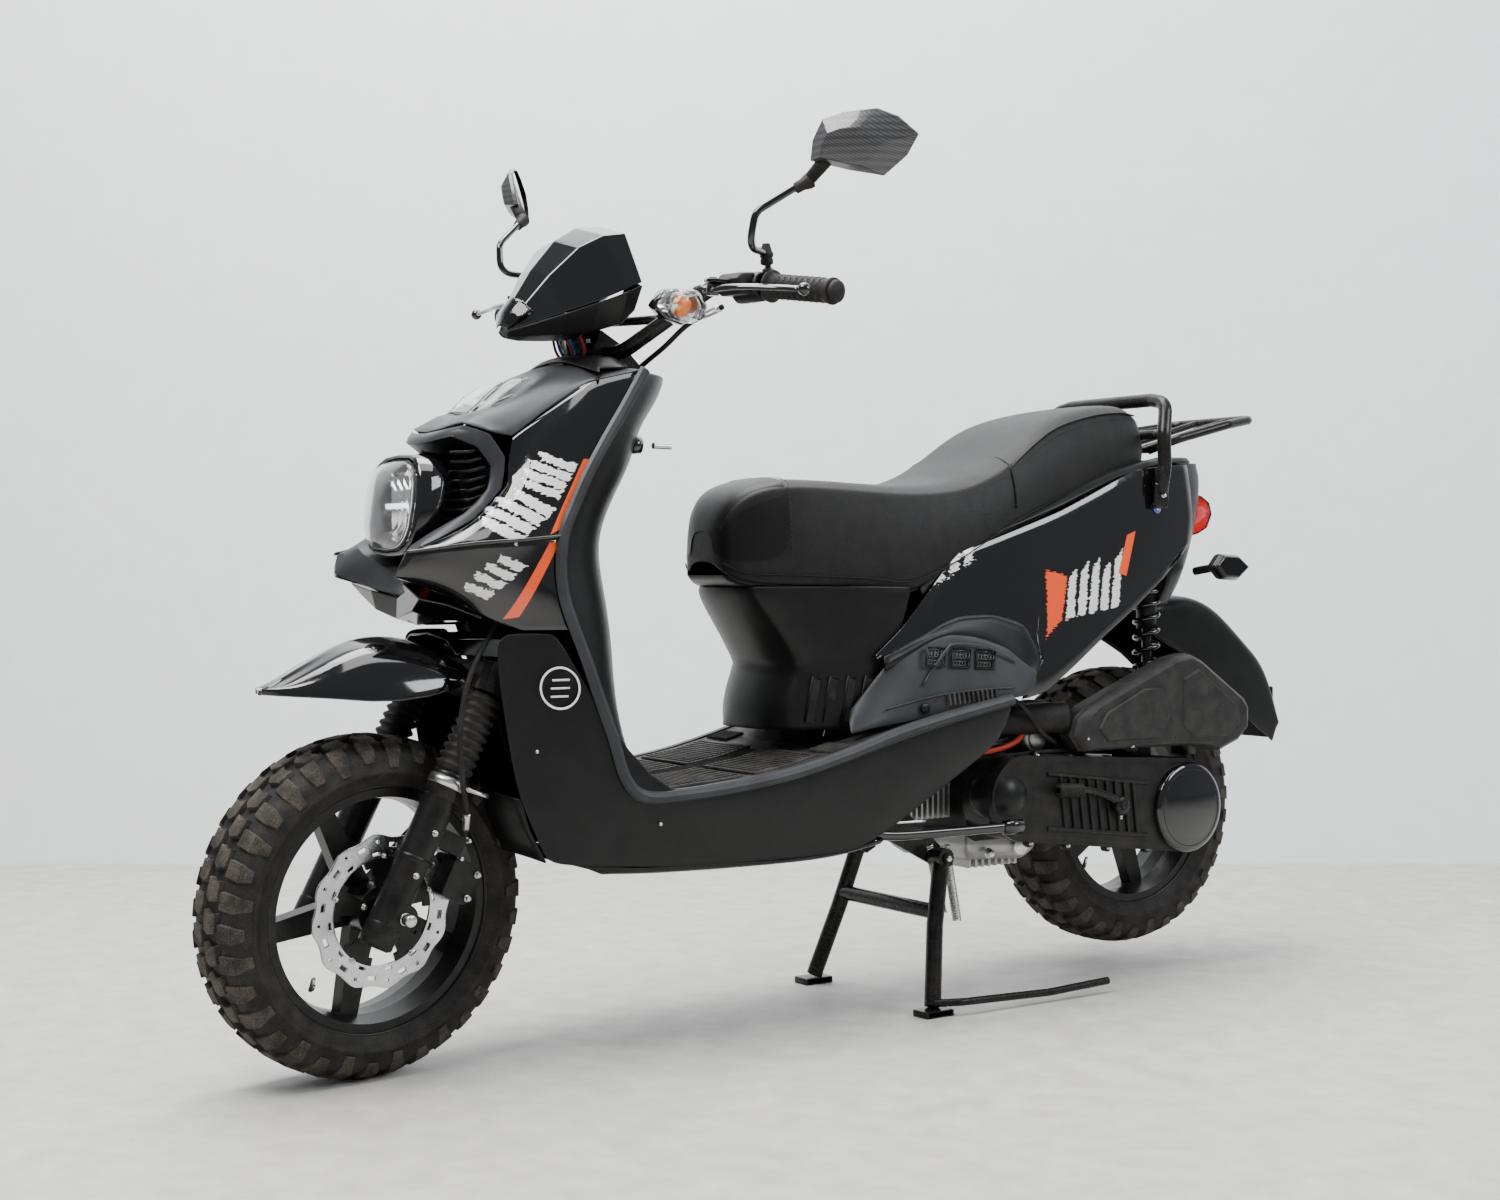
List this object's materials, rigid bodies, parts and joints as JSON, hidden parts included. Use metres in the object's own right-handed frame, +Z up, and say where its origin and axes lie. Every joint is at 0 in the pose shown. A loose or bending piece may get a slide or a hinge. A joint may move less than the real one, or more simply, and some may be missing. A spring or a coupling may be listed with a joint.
{
  "type": "moped scooter",
  "caption": "Step-through moped scooter with a flat floor, stepped seat, exposed handlebar, telescopic fork, swinging belt-drive engine, luggage rack and stands.",
  "frame": {"origin": "ground level under the middle of the machine's length and width", "axes": "+Z up, the front faces -Y, the scooter's left side is +X"},
  "size_m": [0.9189, 1.97, 1.3339],
  "materials": {
    "frame_paint": "satin black",
    "gloss_black": "gloss",
    "satin_black": "satin",
    "satin_grey": "satin metallic grey",
    "dark_plastic": "fine texture",
    "seat_vinyl": "grained",
    "tyre_rubber": "worn",
    "soft_rubber": "matt",
    "wheel_paint": "satin black paint",
    "bright_steel": "ground",
    "cast_alloy": "cast",
    "case_black": "black paint",
    "clear_lens": "clear",
    "red_lens": "gloss",
    "chrome": "polished"
  },
  "bodies": {
    "chassis": {"frame": "frame_paint", "battery": "dark_plastic", "storage_box": "dark_plastic", "fuel_tank": "dark_plastic", "leg_shield": "satin_grey", "floorboard": "dark_plastic", "side_skirts": "satin_black", "belly_pan": "satin_black", "under_seat_panel": "dark_plastic", "vent_panels": "satin_grey", "side_panels": "gloss_black", "tail_cover": "dark_plastic", "rear_lamps": "red_lens", "rear_mudguard": "dark_plastic", "grab_rail": "frame_paint", "luggage_rack": "frame_paint", "front_cowl": "gloss_black", "headlamp_housing": "satin_black", "headlamp_lens": "clear_lens"},
    "steering": {"steering_stem": "frame_paint", "handlebar": "frame_paint", "dash_cowl": "gloss_black", "speedometer": "dark_plastic", "front_mudguard": "gloss_black", "front_indicators": "clear_lens", "switch_boxes": "dark_plastic", "left_grip": "soft_rubber", "fork_gaiters": "soft_rubber", "brake_hose": "soft_rubber", "mirror_arms": "frame_paint"},
    "fork_slider": {"fork_lowers": "case_black", "brake_caliper": "case_black"},
    "front_wheel": {"front_rim": "wheel_paint", "front_tyre": "tyre_rubber", "brake_disc": "bright_steel"},
    "mirror_left": {"mirror_head_left": "gloss_black"},
    "mirror_right": {"mirror_head_right": "gloss_black"},
    "lever_left": {"brake_lever_left": "case_black"},
    "lever_right": {"brake_lever_right": "case_black"},
    "throttle": {"throttle_grip": "soft_rubber"},
    "horn": {"horn_button": "red_lens"},
    "starter": {"starter_button": "red_lens"},
    "key": {"ignition_key": "bright_steel"},
    "engine": {"engine_case": "case_black", "cylinder": "cast_alloy", "air_filter_box": "dark_plastic", "exhaust": "frame_paint", "drive_belt": "soft_rubber"},
    "variator_shaft": {"variator": "bright_steel"},
    "clutch_shaft": {"clutch_pulley": "bright_steel"},
    "rear_wheel": {"rear_rim": "wheel_paint", "rear_tyre": "tyre_rubber"},
    "center_stand": {"center_stand": "frame_paint"},
    "side_stand": {"side_stand": "frame_paint"},
    "kick_lever": {"kick_lever": "frame_paint"},
    "seat": {"seat": "seat_vinyl"},
    "fuel_cap": {"fuel_cap": "dark_plastic"},
    "shock_damper": {"shock_body": "frame_paint", "shock_spring": "frame_paint"},
    "shock_slider": {"shock_rod": "chrome"}
  },
  "joints": [
    {"name": "steering", "type": "hinge", "parent": "chassis", "child": "steering", "pos_m": [0, -0.72, 0.2254], "axis": [0, 0.454, 0.891], "range_deg": [-43, 30]},
    {"name": "fork_travel", "type": "slide", "parent": "steering", "child": "fork_slider", "axis": [0, 0.454, 0.891], "range_m": [0, 0.065], "stiffness_N_per_m": 9000, "springref_m": -0.03, "deforming": ["fork_gaiters", "brake_hose"]},
    {"name": "front_wheel_spin", "type": "hinge", "parent": "fork_slider", "child": "front_wheel", "pos_m": [0.00383, -0.75483, 0.2299], "axis": [0.9934, 0.1024, -0.0522], "continuous": true},
    {"name": "mirror_left_tilt", "type": "hinge", "parent": "steering", "child": "mirror_left", "pos_m": [0.34801, -0.25755, 1.20394], "axis": [0.0522, 0.0027, 0.9986], "range_deg": [-20, 25]},
    {"name": "mirror_right_tilt", "type": "hinge", "parent": "steering", "child": "mirror_right", "pos_m": [-0.33146, -0.3276, 1.23963], "axis": [0.0522, 0.0027, 0.9986], "range_deg": [-25, 20]},
    {"name": "brake_lever_left_pull", "type": "hinge", "parent": "steering", "child": "lever_left", "pos_m": [0.24516, -0.35018, 1.05735], "axis": [0.0522, 0.0027, 0.9986], "range_deg": [0, 9], "stiffness_Nm_per_rad": 4, "springref_deg": -5.73},
    {"name": "brake_lever_right_pull", "type": "hinge", "parent": "steering", "child": "lever_right", "pos_m": [-0.22768, -0.39892, 1.08219], "axis": [-0.0522, -0.0027, -0.9986], "range_deg": [0, 9], "stiffness_Nm_per_rad": 4, "springref_deg": -5.73},
    {"name": "throttle_twist", "type": "hinge", "parent": "steering", "child": "throttle", "pos_m": [-0.33347, -0.33459, 1.09175], "axis": [-0.9987, 0.0137, -0.0484], "range_deg": [0, 75], "stiffness_Nm_per_rad": 0.4, "springref_deg": -5.73},
    {"name": "horn_press", "type": "slide", "parent": "steering", "child": "horn", "axis": [0.1024, -0.9947, -0.0027], "range_m": [0, 0.003], "stiffness_N_per_m": 400, "springref_m": -0.001},
    {"name": "starter_press", "type": "slide", "parent": "steering", "child": "starter", "axis": [0.1024, -0.9947, -0.0027], "range_m": [0, 0.003], "stiffness_N_per_m": 400, "springref_m": -0.001},
    {"name": "key_turn", "type": "hinge", "parent": "chassis", "child": "key", "pos_m": [0.074, -0.325, 0.856], "axis": [0, -1, 0], "range_deg": [0, 90]},
    {"name": "engine_swing", "type": "hinge", "parent": "chassis", "child": "engine", "pos_m": [0, 0.23, 0.455], "axis": [1, 0, 0], "range_deg": [0, 9], "stiffness_Nm_per_rad": 900, "springref_deg": -8.59},
    {"name": "variator_spin", "type": "hinge", "parent": "engine", "child": "variator_shaft", "pos_m": [0.11, 0.303, 0.318], "axis": [1, 0, 0], "continuous": true},
    {"name": "clutch_spin", "type": "hinge", "parent": "engine", "child": "clutch_shaft", "pos_m": [0.11, 0.662, 0.285], "axis": [1, 0, 0], "continuous": true},
    {"name": "rear_wheel_spin", "type": "hinge", "parent": "engine", "child": "rear_wheel", "pos_m": [0, 0.642, 0.276], "axis": [1, 0, 0], "continuous": true},
    {"name": "kick_start", "type": "hinge", "parent": "engine", "child": "kick_lever", "pos_m": [0.16, 0.501, 0.296], "axis": [1, 0, 0], "range_deg": [0, 75], "stiffness_Nm_per_rad": 2, "springref_deg": -34.38},
    {"name": "shock_tilt", "type": "hinge", "parent": "chassis", "child": "shock_damper", "pos_m": [0.092, 0.63, 0.7], "axis": [1, 0, 0], "range_deg": [-2, 2]},
    {"name": "shock_travel", "type": "slide", "parent": "shock_damper", "child": "shock_slider", "axis": [0, 0, 1], "range_m": [0, 0.07], "deforming": ["shock_spring"]},
    {"name": "center_stand_fold", "type": "hinge", "parent": "chassis", "child": "center_stand", "pos_m": [0, 0.169, 0.231], "axis": [1, 0, 0], "range_deg": [0, 78]},
    {"name": "side_stand_swing", "type": "hinge", "parent": "chassis", "child": "side_stand", "pos_m": [0.14, -0.017, 0.284], "axis": [1, 0, 0], "range_deg": [-98, 0]},
    {"name": "seat_hinge", "type": "hinge", "parent": "chassis", "child": "seat", "pos_m": [0, -0.189, 0.656], "axis": [1, 0, 0], "range_deg": [0, 70]},
    {"name": "fuel_cap_turn", "type": "hinge", "parent": "chassis", "child": "fuel_cap", "pos_m": [0, 0.43, 0.745], "axis": [0, 0, 1], "range_deg": [0, 90]}
  ],
  "couplings": [
    {"joint": "shock_travel", "follows": "engine_swing", "m_per_rad": 0.39992},
    {"joint": "shock_tilt", "follows": "engine_swing", "ratio": -0.05655},
    {"joint": "clutch_spin", "follows": "variator_spin", "ratio": 0.3883}
  ]
}
